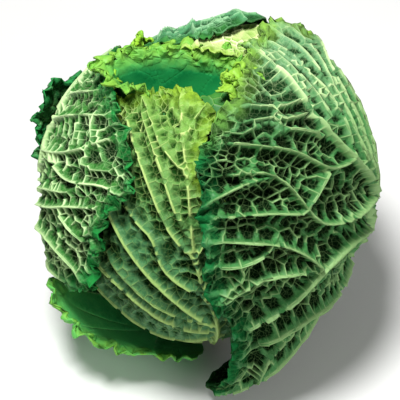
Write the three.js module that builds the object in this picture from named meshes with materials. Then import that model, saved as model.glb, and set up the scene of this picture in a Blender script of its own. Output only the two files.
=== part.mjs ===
// A savoy cabbage head, cut at the stem and standing on the cut, crown up (+Z), in millimetres.
// Every leaf is drawn flat, with its midrib, side veins and pockets, and is then wrapped round the head.
import * as THREE from 'three';

// Driving dimensions
const HEAD_CENTRE_HEIGHT = 98;      // from the cut of the stem to the middle of the head
const HEAD_RADIUS = 92;             // across the large side leaves, at the widest level
const POLAR_SQUASH = 0.96;          // height of the head against its width
const LAYER_SPACING = 7.2;          // from one layer of leaves to the next
const LEAF_THICKNESS = 1.3;
const POCKET_DEPTH = 2.8;           // blistered leaf sunk between its veins
const VEIN_HEIGHT = 1;
const MIDRIB_HEIGHT = 2.2;
const MIDRIB_HALF_WIDTH = 4;
const PETIOLE_HALF_WIDTH = 11;
const FRILL_WIDTH = 8;              // ruffled strip along a leaf's margin
const FRILL_CUT = 4;                // how far its edge is cut in and out
const EDGES_PER_ROW = 6;            // margin edges between two side veins
const VEIN_SAG = 0.06;              // how far a side vein droops, as a share of its length
const VEIN_RISE = 0.85;             // under 1 turns the side veins up towards the tip
const HEART_RADIUS = 77.5;
const HEART_FOLD = 1.8;             // edges of the packed inner leaves
const HEART_SIDES = 30;
const HEART_FOLDS = 5;
const HOLLOW_CENTRE = [-19, 2];     // hollow in the crown
const HOLLOW_HALF_WIDTH = 33;
const HOLLOW_HALF_DEPTH = 17;
const HOLLOW_FLOOR_HEIGHT = 147;
const HOLLOW_BRIM = 1.12;           // brim of the hollow against its half width and half depth
const STEM_CUT_RADIUS = 19.5;
const STEM_CHAMFER = 1.5;
const STEM_SIDES = 20;
const CLEARANCE = 0.4;              // between neighbours that touch on the plant

const INNER_LAYER = HEAD_RADIUS - LAYER_SPACING;
const OUTER_LAYER = HEAD_RADIUS + LAYER_SPACING;
const radians = THREE.MathUtils.degToRad;

// Leaf colours, dark outside and pale towards the heart
const greens = {
  dark: 0x2f6b3c, mid: 0x4f8a3f, pale: 0x9dc25a, bright: 0x3f9a4a, heart: 0x7fb85a, stem: 0xd9e0b8,
};

// Each leaf lies flat about its own middle: u across to the right, v towards its tip, in millimetres.
// polar and azimuth turn that middle from the crown and from the front (-Y) towards +X.
// left and right are the margins from the petiole to the tip, with a frill height along each.
const leaves = [
  {
    name: 'front_leaf',
    colour: greens.pale,
    layer: INNER_LAYER,
    polar: 80,
    azimuth: -6,
    rows: 10,
    cells: 5,
    midrib: [[0, -140], [15, -58], [2, 8], [-5, 54], [-13, 88]],
    tip: [-15, 108],
    left: [[-42, -118], [-82, -62], [-90, 5], [-84, 55], [-68, 90], [-42, 104]],
    right: [[40, -118], [68, -70], [66, -10], [38, 30], [4, 58], [8, 98]],
    leftFrill: [0, 0, 0, 0, 0.5, 3.5, 4],
    rightFrill: [0, 0, 0, 0, 1, 3, 4],
    lifts: [[-15, -90, 40, 5]],
  },
  {
    name: 'back_leaf',
    colour: greens.dark,
    layer: INNER_LAYER,
    polar: 80,
    azimuth: 182,
    rows: 8,
    cells: 4,
    midrib: [[0, -140], [0, -60], [4, 10], [8, 84]],
    tip: [6, 100],
    left: [[-40, -118], [-70, -60], [-72, -10], [-54, 34], [-38, 66], [-27, 90]],
    right: [[40, -118], [74, -60], [82, 0], [76, 50], [46, 82]],
    leftFrill: [0, 0, 0, 0, 0.5, 2.5],
    rightFrill: [0, 0, 0, 0, 2, 3.5],
    lifts: [[-20, 80, 30, 13], [30, 56, 30, 4]],
  },
  {
    name: 'right_leaf',
    colour: greens.dark,
    layer: HEAD_RADIUS,
    polar: 80,
    azimuth: 75,
    rows: 11,
    cells: 5,
    midrib: [[0, -140], [8, -75], [13, -21], [-8, 36], [-6, 66], [10, 92]],
    tip: [22, 112],
    left: [
      [-38, -126], [-82, -119], [-104, -50], [-120, 4], [-108, 50], [-86, 86], [-58, 103], [-22, 106],
    ],
    right: [[40, -118], [74, -70], [86, -5], [82, 52], [62, 92]],
    leftFrill: [0, 1, 4, 4, 3, 3, 3.5],
    rightFrill: [0, 0, 0, 1, 3, 4],
    lifts: [[-82, -110, 46, 26], [74, 64, 36, 8]],
  },
  {
    name: 'left_leaf',
    colour: greens.mid,
    layer: HEAD_RADIUS,
    polar: 80,
    azimuth: -100,
    rows: 10,
    cells: 5,
    midrib: [[0, -140], [8, -70], [12, -15], [-4, 25], [-14, 48]],
    tip: [-20, 64],
    left: [[-38, -120], [-66, -70], [-74, -10], [-56, 44]],
    right: [[30, -124], [56, -66], [90, -30], [95, 6], [90, 38], [88, 62], [66, 76], [30, 78]],
    leftFrill: [0, 0, 0.4, 0.6, 2],
    rightFrill: [0, 1, 4, 4.5, 4.5, 4, 4],
    lifts: [],
  },
  {
    name: 'upper_left_leaf',
    colour: greens.dark,
    layer: OUTER_LAYER,
    polar: 95,
    azimuth: -138,
    rows: 7,
    cells: 4,
    midrib: [[0, -115], [0, -60], [4, -8], [20, 20]],
    tip: [30, 33],
    left: [[-32, -100], [-48, -50], [-46, -14], [-18, 16]],
    right: [[34, -100], [50, -55], [52, -8], [46, 24]],
    leftFrill: [0, 0, 2, 4, 4],
    rightFrill: [0, 0, 2, 3, 3],
    lifts: [],
  },
  {
    name: 'rear_right_leaf',
    colour: greens.dark,
    layer: OUTER_LAYER,
    polar: 98,
    azimuth: 139,
    rows: 7,
    cells: 4,
    midrib: [[0, -110], [0, -60], [0, -14], [0, 18]],
    tip: [0, 32],
    left: [[-34, -96], [-44, -50], [-38, -12], [-24, 18]],
    right: [[32, -96], [46, -50], [46, -8], [26, 20]],
    leftFrill: [0, 0, 2, 4, 4],
    rightFrill: [0, 0, 2, 4, 4],
    lifts: [],
  },
  {
    name: 'lower_left_leaf',
    colour: greens.bright,
    layer: OUTER_LAYER,
    polar: 120,
    azimuth: -45,
    rows: 6,
    cells: 3,
    midrib: [[0, -75], [-4, -50], [-12, -22]],
    tip: [-17, 1],
    left: [[-34, -62], [-50, -36], [-48, -8], [-35, 10]],
    right: [[30, -64], [44, -46], [38, -32], [10, -16]],
    leftFrill: [0, 1, 2, 2.5, 3],
    rightFrill: [0, 1, 3, 4, 4],
    lifts: [[-12, -4, 28, 13]],
  },
];

// The same turn of the head is used for every wrapped point.
function leafFrame(leaf) {
  const polar = radians(leaf.polar);
  const azimuth = radians(leaf.azimuth);
  const outward = new THREE.Vector3(
    Math.sin(polar) * Math.sin(azimuth), -Math.sin(polar) * Math.cos(azimuth), Math.cos(polar));
  const towardsTip = new THREE.Vector3(
    -Math.cos(polar) * Math.sin(azimuth), Math.cos(polar) * Math.cos(azimuth), Math.sin(polar));
  const across = new THREE.Vector3().crossVectors(towardsTip, outward);
  return { outward, towardsTip, across };
}

// A flat leaf point keeps its distance and bearing from the leaf's middle as it goes onto the head.
function wrapOnHead(frame, u, v, radius) {
  const distance = Math.hypot(u, v);
  const angle = distance / HEAD_RADIUS;
  const along = distance > 0 ? Math.sin(angle) / distance : 0;
  const direction = new THREE.Vector3()
    .addScaledVector(frame.outward, Math.cos(angle))
    .addScaledVector(frame.across, u * along)
    .addScaledVector(frame.towardsTip, v * along);
  return new THREE.Vector3(
    direction.x * radius,
    direction.y * radius,
    HEAD_CENTRE_HEIGHT + direction.z * radius * POLAR_SQUASH);
}

function splineThrough(points) {
  return new THREE.SplineCurve(points.map(([u, v]) => new THREE.Vector2(u, v)));
}

// Value of an evenly spaced list at a fraction of its length
function listAt(list, fraction) {
  const place = THREE.MathUtils.clamp(fraction, 0, 1) * (list.length - 1);
  const index = Math.min(Math.floor(place), list.length - 2);
  return THREE.MathUtils.lerp(list[index], list[index + 1], place - index);
}

function seededRandom(seed) {
  let state = seed;
  return () => {
    state = (state * 1103515245 + 12345) % 2147483648;
    return state / 2147483648;
  };
}

// Builds one closed blade from flat points with a height above their layer. Both faces are split alike.
class Blade {
  constructor() {
    this.points = [];
    this.triangles = [];
    this.known = new Map();
  }

  // Points given the same key are shared.
  point(key, u, v, height) {
    if (!this.known.has(key)) {
      this.known.set(key, this.points.length);
      this.points.push({ u, v, height });
    }
    return this.known.get(key);
  }

  // Corners are given anticlockwise on the right half (side 1) and clockwise on the left half (side -1).
  triangle(side, a, b, c) {
    this.triangles.push(side > 0 ? [a, b, c] : [a, c, b]);
  }

  // A pocket: triangles from a sunken middle to each edge of the outline
  pocket(side, outline, depth) {
    const corners = outline.map((index) => this.points[index]);
    const mean = (pick) => corners.reduce((sum, corner) => sum + pick(corner), 0) / corners.length;
    const middle = this.points.length;
    this.points.push({
      u: mean((corner) => corner.u),
      v: mean((corner) => corner.v),
      height: mean((corner) => corner.height) - depth,
    });
    outline.forEach((corner, index) => {
      this.triangle(side, middle, corner, outline[(index + 1) % outline.length]);
    });
  }

  geometry(place) {
    const face = (inset) => this.points.map(({ u, v, height }) => place(u, v, height - inset));
    return closedSheet(face(0), face(LEAF_THICKNESS), this.triangles);
  }
}

function indexedGeometry(points, indices) {
  const geometry = new THREE.BufferGeometry();
  const positions = points.flatMap((point) => point.toArray());
  geometry.setAttribute('position', new THREE.Float32BufferAttribute(positions, 3));
  geometry.setIndex(indices);
  geometry.computeVertexNormals();
  return geometry;
}

// Closes a sheet: its front face, its back face and the edge between them
function closedSheet(front, back, triangles) {
  const count = front.length;
  const indices = [];
  const edges = new Map();
  for (const [a, b, c] of triangles) {
    indices.push(a, b, c, a + count, c + count, b + count);
    for (const [from, to] of [[a, b], [b, c], [c, a]]) {
      edges.set(`${from}_${to}`, [from, to]);
    }
  }
  for (const [from, to] of edges.values()) {
    if (!edges.has(`${to}_${from}`)) {
      indices.push(from, from + count, to + count, from, to + count, to);
    }
  }
  return indexedGeometry([...front, ...back], indices);
}

// One half of a leaf: side veins run from the midrib to the margin, and pockets lie between them in a
// brick pattern. Row numbers run from 0 at the petiole to leaf.rows at the tip.
function addLeafHalf(blade, leaf, side, random) {
  const midrib = splineThrough([...leaf.midrib, leaf.tip]);
  const ribEnd = 1 - 1 / leaf.midrib.length;
  const corner = [side * PETIOLE_HALF_WIDTH, leaf.midrib[0][1]];
  const margin = splineThrough([corner, ...(side < 0 ? leaf.left : leaf.right), leaf.tip]);
  const frill = side < 0 ? leaf.leftFrill : leaf.rightFrill;
  const label = side < 0 ? 'left' : 'right';
  const steps = 2 * leaf.cells;

  const lift = (u, v) => leaf.lifts.reduce((sum, [liftU, liftV, spread, height]) => {
    const distance = Math.hypot(u - liftU, v - liftV) / spread;
    return sum + height * Math.exp(-distance * distance);
  }, 0);

  // A side vein at a row number, sampled at a length from the midrib
  const vein = (row) => {
    const part = row / leaf.rows;
    const start = midrib.getPointAt(part * ribEnd);
    const end = margin.getPointAt(Math.pow(part, VEIN_RISE));
    const length = start.distanceTo(end);
    const sag = VEIN_SAG * length * Math.sin(Math.PI * part);
    return {
      length,
      ribHalfWidth: Math.min(MIDRIB_HALF_WIDTH, length / 4),
      at(distance) {
        const share = distance / length;
        const point = start.clone().lerp(end, share);
        point.y -= 4 * sag * share * (1 - share);
        return point;
      },
    };
  };

  const place = (key, point, height) => (
    blade.point(key, point.x, point.y, height + lift(point.x, point.y)));

  // The crest of the midrib is shared by both halves, and so is the last vein, which runs on to the tip.
  // The midrib is half as high at the tip as at the petiole.
  const crest = (row) => {
    const height = MIDRIB_HEIGHT * (1 - 0.5 * row / leaf.rows);
    return place(`crest ${row}`, vein(row).at(0), height);
  };
  const ribFoot = (row) => {
    const line = vein(row);
    return place(`${label} foot ${row}`, line.at(line.ribHalfWidth), 0);
  };
  const onVein = (row, step) => {
    if (step === 0) {
      return row === leaf.rows ? crest(row) : ribFoot(row);
    }
    const line = vein(row);
    const first = row === leaf.rows ? 0 : line.ribHalfWidth;
    const last = line.length - Math.min(FRILL_WIDTH, line.length / 3);
    const owner = row === leaf.rows ? 'tip' : label;
    const distance = THREE.MathUtils.lerp(first, last, step / steps);
    return place(`${owner} vein ${row} ${step}`, line.at(distance), VEIN_HEIGHT);
  };

  // The cut and ruffled edge, with more points than the veins have
  const edge = (row, index) => {
    const reach = row + index / EDGES_PER_ROW;
    const line = vein(reach);
    const key = reach >= leaf.rows ? 'tip edge' : `${label} edge ${row} ${index}`;
    if (blade.known.has(key)) {
      return blade.known.get(key);
    }
    const ruffle = listAt(frill, reach / leaf.rows);
    const wave = 0.5 * random() + (index % 2 === 0 ? 0 : 0.5);
    const cut = ruffle > 1 ? (random() - 0.5) * FRILL_CUT : 0;
    return place(key, line.at(line.length + cut), ruffle * wave);
  };

  for (let row = 0; row < leaf.rows; row += 1) {
    const isLast = row === leaf.rows - 1;

    // Strip from the crest of the midrib to its foot
    blade.triangle(side, crest(row), ribFoot(row), crest(row + 1));
    if (!isLast) {
      blade.triangle(side, ribFoot(row), ribFoot(row + 1), crest(row + 1));
    }

    // Pockets between this side vein and the next
    const shift = row % 2;
    const bounds = [0];
    for (let step = 2 - shift; step < steps; step += 2) {
      bounds.push(step);
    }
    bounds.push(steps);
    for (let index = 0; index < bounds.length - 1; index += 1) {
      const outline = [];
      for (let step = bounds[index]; step <= bounds[index + 1]; step += 1) {
        outline.push(onVein(row, step));
      }
      for (let step = bounds[index + 1]; step >= bounds[index]; step -= 1) {
        outline.push(onVein(row + 1, step));
      }
      blade.pocket(side, outline, POCKET_DEPTH + VEIN_HEIGHT / 2);
    }

    // Ruffled strip along the margin
    const near = onVein(row, steps);
    const far = onVein(row + 1, steps);
    const turn = EDGES_PER_ROW / 2;
    for (let index = 0; index < EDGES_PER_ROW; index += 1) {
      const inner = index < turn ? near : far;
      const next = index + 1 < EDGES_PER_ROW ? edge(row, index + 1) : edge(row + 1, 0);
      blade.triangle(side, inner, edge(row, index), next);
    }
    blade.triangle(side, near, edge(row, turn), far);
  }
}

function buildLeaf(leaf, seed) {
  const blade = new Blade();
  const random = seededRandom(seed);
  addLeafHalf(blade, leaf, -1, random);
  addLeafHalf(blade, leaf, 1, random);
  const frame = leafFrame(leaf);
  return blade.geometry((u, v, height) => wrapOnHead(frame, u, v, leaf.layer + height));
}

// Closes rings of points, from a first pole to a last one, into a solid. Rings run anticlockwise
// seen from above, and the first pole is at the top.
function closedRings(topPole, rings, bottomPole) {
  const sides = rings[0].length;
  const at = (ring, index) => 1 + ring * sides + (index % sides);
  const last = 1 + rings.length * sides;
  const indices = [];
  for (let index = 0; index < sides; index += 1) {
    indices.push(0, at(0, index), at(0, index + 1));
    for (let ring = 0; ring < rings.length - 1; ring += 1) {
      indices.push(at(ring, index), at(ring + 1, index), at(ring + 1, index + 1));
      indices.push(at(ring, index), at(ring + 1, index + 1), at(ring, index + 1));
    }
    indices.push(last, at(rings.length - 1, index + 1), at(rings.length - 1, index));
  }
  return indexedGeometry([topPole, ...rings.flat(), bottomPole], indices);
}

// The heart is a ball of packed leaves with a deep hollow in its crown. Near the crown its rings lie
// round the hollow, and further down round the head's own axis.
function buildHeart() {
  // Reach across the hollow and rise from its floor to its brim, ring by ring
  const hollowRings = [[0.35, 0], [0.74, 0], [0.87, 0.5], [0.98, 0.94]];
  const surfaceRings = 13;
  const settlingRings = 4;
  const firstPolar = radians(28);
  const [hollowX, hollowY] = HOLLOW_CENTRE;
  const turns = Array.from({ length: HEART_SIDES }, (unused, index) => index / HEART_SIDES * 2 * Math.PI);
  const surfaceHeight = (x, y, radius) => (
    HEAD_CENTRE_HEIGHT + POLAR_SQUASH * Math.sqrt(radius * radius - x * x - y * y));
  const roundHollow = (reach, turn) => [
    hollowX + reach * HOLLOW_HALF_WIDTH * Math.cos(turn),
    hollowY + reach * HOLLOW_HALF_DEPTH * Math.sin(turn),
  ];

  const rings = hollowRings.map(([reach, rise]) => turns.map((turn) => {
    const [x, y] = roundHollow(reach, turn);
    const brim = surfaceHeight(x, y, HEART_RADIUS);
    return new THREE.Vector3(x, y, THREE.MathUtils.lerp(HOLLOW_FLOOR_HEIGHT, brim, rise));
  }));
  for (let ring = 0; ring < surfaceRings; ring += 1) {
    const polar = THREE.MathUtils.lerp(firstPolar, Math.PI, ring / surfaceRings);
    const settle = Math.max(0, 1 - ring / settlingRings);
    rings.push(turns.map((turn, index) => {
      const sidesPerFold = HEART_SIDES / HEART_FOLDS;
      const fold = (index + 2 * ring) % sidesPerFold / sidesPerFold;
      const radius = HEART_RADIUS + HEART_FOLD * fold * Math.min(1, ring / 2);
      const roundX = radius * Math.sin(polar) * Math.cos(turn);
      const roundY = radius * Math.sin(polar) * Math.sin(turn);
      if (settle === 0) {
        const height = HEAD_CENTRE_HEIGHT + POLAR_SQUASH * radius * Math.cos(polar);
        return new THREE.Vector3(roundX, roundY, height);
      }
      const [brimX, brimY] = roundHollow(HOLLOW_BRIM, turn);
      const x = THREE.MathUtils.lerp(roundX, brimX, settle);
      const y = THREE.MathUtils.lerp(roundY, brimY, settle);
      return new THREE.Vector3(x, y, surfaceHeight(x, y, radius));
    }));
  }
  return closedRings(
    new THREE.Vector3(hollowX, hollowY, HOLLOW_FLOOR_HEIGHT),
    rings,
    new THREE.Vector3(0, 0, HEAD_CENTRE_HEIGHT - POLAR_SQUASH * HEART_RADIUS));
}

// The crown leaf is a cup open to the front. It stands in the hollow of the heart, lines its back wall
// and ends in a ruffled rim that leans outwards.
function buildCrownLeaf() {
  const firstTurn = radians(-22);
  const lastTurn = radians(232);
  const steps = 26;
  const endDrop = 5;
  // Half width, half depth, height and slope of the wall at each level from the foot to the rim
  const foot = { halfWidth: 21.5, halfDepth: 8.5, height: HOLLOW_FLOOR_HEIGHT + 2 * CLEARANCE, slope: 70 };
  const wall = { halfWidth: 25, halfDepth: 11, height: 160, slope: 70 };
  const brim = { halfWidth: 28, halfDepth: 13, height: 171, slope: 64 };
  const rim = { halfWidth: 30, halfDepth: 16, height: 177, slope: 50 };
  const rimWave = 3.4;
  const rimCurl = 1.6;
  const rimChance = 1.5;
  const [centreX, centreY] = HOLLOW_CENTRE;
  const random = seededRandom(5);
  const inner = [];
  const outer = [];

  // The wall is highest at the back and lower towards both free ends.
  const addPoint = (share, level, rise, reach) => {
    const turn = THREE.MathUtils.lerp(firstTurn, lastTurn, share);
    const climb = (level.height - foot.height) / (rim.height - foot.height);
    const drop = endDrop * (1 - Math.sin(Math.PI * share)) * climb * climb;
    const slope = radians(level.slope);
    const point = new THREE.Vector3(
      centreX + (level.halfWidth + reach) * Math.cos(turn),
      centreY + (level.halfDepth + reach) * Math.sin(turn),
      level.height + rise - drop);
    const outward = new THREE.Vector3(
      Math.cos(turn) * Math.sin(slope), Math.sin(turn) * Math.sin(slope), -Math.cos(slope));
    inner.push(point);
    outer.push(point.clone().addScaledVector(outward, LEAF_THICKNESS));
    return inner.length - 1;
  };

  const levels = [foot, wall, brim].map((level) => (
    Array.from({ length: steps + 1 }, (unused, step) => addPoint(step / steps, level, 0, 0))));
  const ruffle = Array.from({ length: 2 * steps + 1 }, (unused, index) => {
    const wave = index % 2;
    const rise = rimWave * wave + rimChance * random();
    const reach = rimChance * random() - rimCurl * wave;
    return addPoint(index / (2 * steps), rim, rise, reach);
  });

  const triangles = [];
  for (let step = 0; step < steps; step += 1) {
    for (let level = 0; level < levels.length - 1; level += 1) {
      const below = levels[level];
      const above = levels[level + 1];
      triangles.push([below[step], above[step], above[step + 1]]);
      triangles.push([below[step], above[step + 1], below[step + 1]]);
    }
    const top = levels[levels.length - 1];
    triangles.push([top[step], ruffle[2 * step], ruffle[2 * step + 1]]);
    triangles.push([top[step], ruffle[2 * step + 1], top[step + 1]]);
    triangles.push([top[step + 1], ruffle[2 * step + 1], ruffle[2 * step + 2]]);
  }
  return closedSheet(inner, outer, triangles);
}

// The stem tapers from the cut to the heart and has a narrow chamfer round the cut.
function buildStem() {
  const top = HEAD_CENTRE_HEIGHT - POLAR_SQUASH * (HEART_RADIUS + HEART_FOLD) - CLEARANCE;
  const profile = [
    [0, 0],
    [STEM_CUT_RADIUS - STEM_CHAMFER, 0],
    [STEM_CUT_RADIUS, STEM_CHAMFER],
    [STEM_CUT_RADIUS, 8],
    [STEM_CUT_RADIUS - 1.5, 15],
    [STEM_CUT_RADIUS - 4.5, top],
    [0, top],
  ].map(([radius, height]) => new THREE.Vector2(radius, height));
  const geometry = new THREE.LatheGeometry(profile, STEM_SIDES);
  geometry.rotateX(Math.PI / 2);
  return geometry;
}

function addMesh(group, name, geometry, colour, roughness) {
  const mesh = new THREE.Mesh(geometry, new THREE.MeshStandardMaterial({
    color: colour, roughness, metalness: 0, flatShading: true,
  }));
  mesh.name = name;
  group.add(mesh);
}

const cabbage = new THREE.Group();
addMesh(cabbage, 'stem', buildStem(), greens.stem, 0.6);
addMesh(cabbage, 'heart', buildHeart(), greens.heart, 0.5);
addMesh(cabbage, 'crown_leaf', buildCrownLeaf(), greens.pale, 0.5);
leaves.forEach((leaf, index) => {
  addMesh(cabbage, leaf.name, buildLeaf(leaf, 11 + index), leaf.colour, 0.5);
});

export default cabbage;
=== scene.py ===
"""The looks of a savoy cabbage head: blistered leaves with a raised pale vein net and ruffled edges.

Each leaf is laid out flat, as in the part's source: u runs across it, to the right as seen from
outside, and v towards its tip, in millimetres. Its veins are drawn on the flat leaf, a net of
blisters is spun between them, and the leaf is then wrapped on the round head.
"""

import math
import random

import bmesh
import bpy
import numpy as np
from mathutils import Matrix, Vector, noise
from mathutils.geometry import delaunay_2d_cdt
from mathutils.kdtree import KDTree


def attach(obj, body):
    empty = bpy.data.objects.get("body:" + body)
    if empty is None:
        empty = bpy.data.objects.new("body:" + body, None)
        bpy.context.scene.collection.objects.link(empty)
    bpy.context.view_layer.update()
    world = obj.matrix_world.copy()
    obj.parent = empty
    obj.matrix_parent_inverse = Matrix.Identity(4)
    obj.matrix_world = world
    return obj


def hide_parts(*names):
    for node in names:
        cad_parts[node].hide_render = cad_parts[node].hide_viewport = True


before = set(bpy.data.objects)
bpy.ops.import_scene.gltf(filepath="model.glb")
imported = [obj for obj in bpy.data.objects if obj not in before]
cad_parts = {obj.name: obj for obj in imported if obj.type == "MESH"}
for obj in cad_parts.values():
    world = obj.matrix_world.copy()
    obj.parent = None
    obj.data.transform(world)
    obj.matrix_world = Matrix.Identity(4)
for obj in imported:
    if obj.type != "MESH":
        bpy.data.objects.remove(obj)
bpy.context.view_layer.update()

MM = 0.001

# Without a seed of its own, noise_vector would give other ruffles on every run
noise.seed_set(1)

# The head, as in the part's source
HEAD_CENTRE_HEIGHT = 98
HEAD_RADIUS = 92
POLAR_SQUASH = 0.96
LAYER_SPACING = 7.2
INNER_LAYER = HEAD_RADIUS - LAYER_SPACING
OUTER_LAYER = HEAD_RADIUS + LAYER_SPACING
PETIOLE_HALF_WIDTH = 11
VEIN_RISE = 0.85
VEIN_SAG = 0.06
HOLLOW_CENTRE = (-19, 2)

# Lines on the flat leaf
CURVE_STEPS = 24
FINE_STEP = 0.7

# Seeds of the net's cells: how far apart they lie, and how they come in patches
NET_SPACING = 4.6
RIM_SPACING = 2.7
POCKET_SPACING = 11
PAIR_OFFSET = 0.45
POCKET_PAIR_SPACING = POCKET_SPACING * 0.8
POCKET_PAIR_OFFSET = POCKET_SPACING * 0.42
LEAST_GAP = 0.55
FILL_TRIES = 22
OUTSIDE_BAND = 14
SIZE_PATCH = 15
SMALLEST_CELL = 0.6
LARGEST_CELL = 1.45
RIM_BAND = 15

# Strengths of the veins, from 0 for none to 1.3 for a thick midrib
MIDRIB_STRENGTH = 1.3
PLAIN_VEIN_STRENGTH = 0.75
PLAIN_VEIN_POINTS = 12
POCKET_STRENGTH = 0.4
SHARP_WALL = 0.34
NET_STRENGTH = 0.24
VEIN_END_SHARE = 0.5

# Walls between the pockets and between the cells
SHORTEST_WALL = 3
VEIN_CLEARANCE = 2.2
WALL_BEND = 0.12
WELD = 0.4
WALL_FOOT = 0.3
WALL_STEP = 0.15
WIDEST_FOOT = 0.42
WIDEST_PIT = 3.6

# The net is cut less deep close below a strong vein, and on the wider slope above it
SMOOTH_PATCH = 24
CLEAR_BELOW = (0.5, 3.5)
CLEAR_ABOVE = (2.5, 9.0)

# How the blade hangs between its veins, and the trench under each of them
LEAF_THICKNESS = 0.9
DRAPE_SPAN = 12
POCKET_SPAN = 3.6
UNDER_VEIN = 0.4
UNDER_SPAN = 2.6
RIM_RELIEF = 0.35
SMOOTH_RELIEF = 0.3
BLADE_LIFT = 0.4

# The ruffled margin
FOLD_LENGTHS = (3, 22)
FRILL_WIDTH = 14
RUFFLE_SIZE = 8
RUFFLE_DEPTH = 1.1
CRINKLE_SIZE = 3.2
CRINKLE_DEPTH = 0.6
FRILL_RISE = 0.3
FOLD_DEPTH = 0.5
EDGE_SHARE = 0.86
FULL_FRILL = 2.5

# Painted shade: how deep a pit must sink for its full painted shade, how dark the trenches are painted, and
# how far the ruffles hide the veins' colour
FULL_SHADE_DEPTH = 1.8
TRENCH_SHADE = 0.55
RUFFLE_COVER = 0.7


def smooth_line(points, spacing):
    """Points an even distance apart on the smooth curve through the given ones."""
    knots = np.array(points, float)
    padded = np.vstack([knots[:1], knots, knots[-1:]])
    share = np.linspace(0, 1, CURVE_STEPS, endpoint=False)[:, None]
    stretches = []
    for before, start, end, after in zip(padded, padded[1:], padded[2:], padded[3:]):
        leaving = (end - before) / 2
        arriving = (after - start) / 2
        stretches.append(
            (2 * start - 2 * end + leaving + arriving) * share**3
            + (3 * end - 3 * start - 2 * leaving - arriving) * share**2
            + leaving * share
            + start
        )
    return even_line(np.vstack([*stretches, knots[-1:]]), spacing)


def even_line(line, spacing):
    """The same line with its points an even distance apart."""
    reach = np.concatenate([[0], np.cumsum(np.hypot(*np.diff(line, axis=0).T))])
    count = max(2, round(reach[-1] / spacing) + 1)
    even = np.linspace(0, reach[-1], count)
    return np.column_stack([np.interp(even, reach, line[:, axis]) for axis in (0, 1)])


def sideways(line):
    """The unit direction across a line, at each of its points."""
    along = np.gradient(line, axis=0)
    along /= np.linalg.norm(along, axis=1)[:, None] + 1e-9
    return np.column_stack([-along[:, 1], along[:, 0]])


def list_at(values, share):
    """A value between those of a list, share of the way along it."""
    return np.interp(np.asarray(share) * (len(values) - 1), range(len(values)), values)


def is_inside(points, outline):
    """Which points lie inside a closed outline."""
    inside = np.zeros(len(points), bool)
    x, y = points[:, 0], points[:, 1]
    for (x0, y0), (x1, y1) in zip(outline, np.roll(outline, -1, axis=0)):
        if y0 != y1:
            crosses = (y0 > y) != (y1 > y)
            inside ^= crosses & (x < x0 + (y - y0) * (x1 - x0) / (y1 - y0))
    return inside


class SeedBed:
    """Seeds of the net's cells, each kept a least distance from the others."""

    def __init__(self, gap):
        self.gap = gap
        self.points = []
        self.squares = {}

    def near(self, point, gap):
        column, row = (math.floor(c / self.gap) for c in point)
        reach = range(-2, 3)
        return any(
            math.dist(point, other) < gap
            for across in reach
            for along in reach
            for other in self.squares.get((column + across, row + along), ())
        )

    def add(self, point):
        point = (float(point[0]), float(point[1]))
        key = tuple(math.floor(c / self.gap) for c in point)
        self.squares.setdefault(key, []).append(point)
        self.points.append(point)

    def add_pairs(self, line, spacing, offset, chance):
        """Seeds on both sides of a vein, so that the wall between their cells follows it."""
        middle = even_line(line, FINE_STEP)
        across = sideways(middle)
        place = chance.uniform(0.3, 0.7) * spacing
        gap = spacing * LEAST_GAP
        while place < FINE_STEP * (len(middle) - 1):
            index = round(place / FINE_STEP)
            apart = across[index] * offset * chance.uniform(0.85, 1.2)
            left, right = middle[index] + apart, middle[index] - apart
            if not self.near(left, gap) and not self.near(right, gap):
                self.add(left)
                self.add(right)
            place += spacing * chance.uniform(0.7, 1.45)

    def fill(self, low, high, chance, size_at):
        """Seeds thrown at random wherever there is still room, closer where size_at is smaller."""
        tries = int(FILL_TRIES * np.prod((high - low) / self.gap))
        for _ in range(tries):
            point = (chance.uniform(low[0], high[0]), chance.uniform(low[1], high[1]))
            if not self.near(point, self.gap * size_at(point)):
                self.add(point)


def cells_round(seeds):
    """The corners of the cells round the seeds, and which corners each cell has, in order."""
    triangles = np.array(delaunay_2d_cdt([Vector(seed) for seed in seeds], [], [], 0, 1e-6)[2])
    first, second, third = (seeds[triangles[:, corner]] for corner in range(3))
    one, two = second - first, third - first
    doubled = 2 * (one[:, 0] * two[:, 1] - one[:, 1] * two[:, 0])
    one_square, two_square = (one**2).sum(1), (two**2).sum(1)
    corners = first + np.column_stack(
        [
            (two[:, 1] * one_square - one[:, 1] * two_square) / doubled,
            (one[:, 0] * two_square - two[:, 0] * one_square) / doubled,
        ]
    )
    around = [[] for _ in seeds]
    for index, triangle in enumerate(triangles):
        for seed in triangle:
            around[seed].append(index)
    for seed, cell in enumerate(around):
        offsets = corners[cell] - seeds[seed]
        around[seed] = [cell[k] for k in np.argsort(np.arctan2(offsets[:, 1], offsets[:, 0]))]
    return corners, around


def vein_half_width(strength):
    """Half the width of a vein's ridge, in millimetres."""
    return 0.16 + 1.45 * strength**1.4


def vein_height(strength):
    """How far a vein's ridge stands above the blade, in millimetres."""
    return 1.9 * strength**1.2


def vein_paint(strength):
    """How much of the vein's own colour a ridge shows."""
    return min(1, 0.08 + 2.3 * strength)


def smooth_share(leaf, u, v):
    """How smooth the leaf stays at a place, from 0 to 1."""
    spots = leaf.get("smooth_spots", ())
    total = sum(share * np.exp(-((u - a) ** 2 + (v - b) ** 2) / spread**2) for a, b, spread, share in spots)
    return np.minimum(1, total)


def smoothstep(low, high, value):
    """Rises smoothly from 0 at low to 1 at high."""
    share = np.clip((value - low) / (high - low), 0, 1)
    return share * share * (3 - 2 * share)


# Rings from a wall's crest to its pit: share of the vein's colour, of its height and of the pit's depth
RINGS = [(0.95, 0.9, 0), (0.3, 0.1, 0.1), (0, 0, 0.85)]


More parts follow.
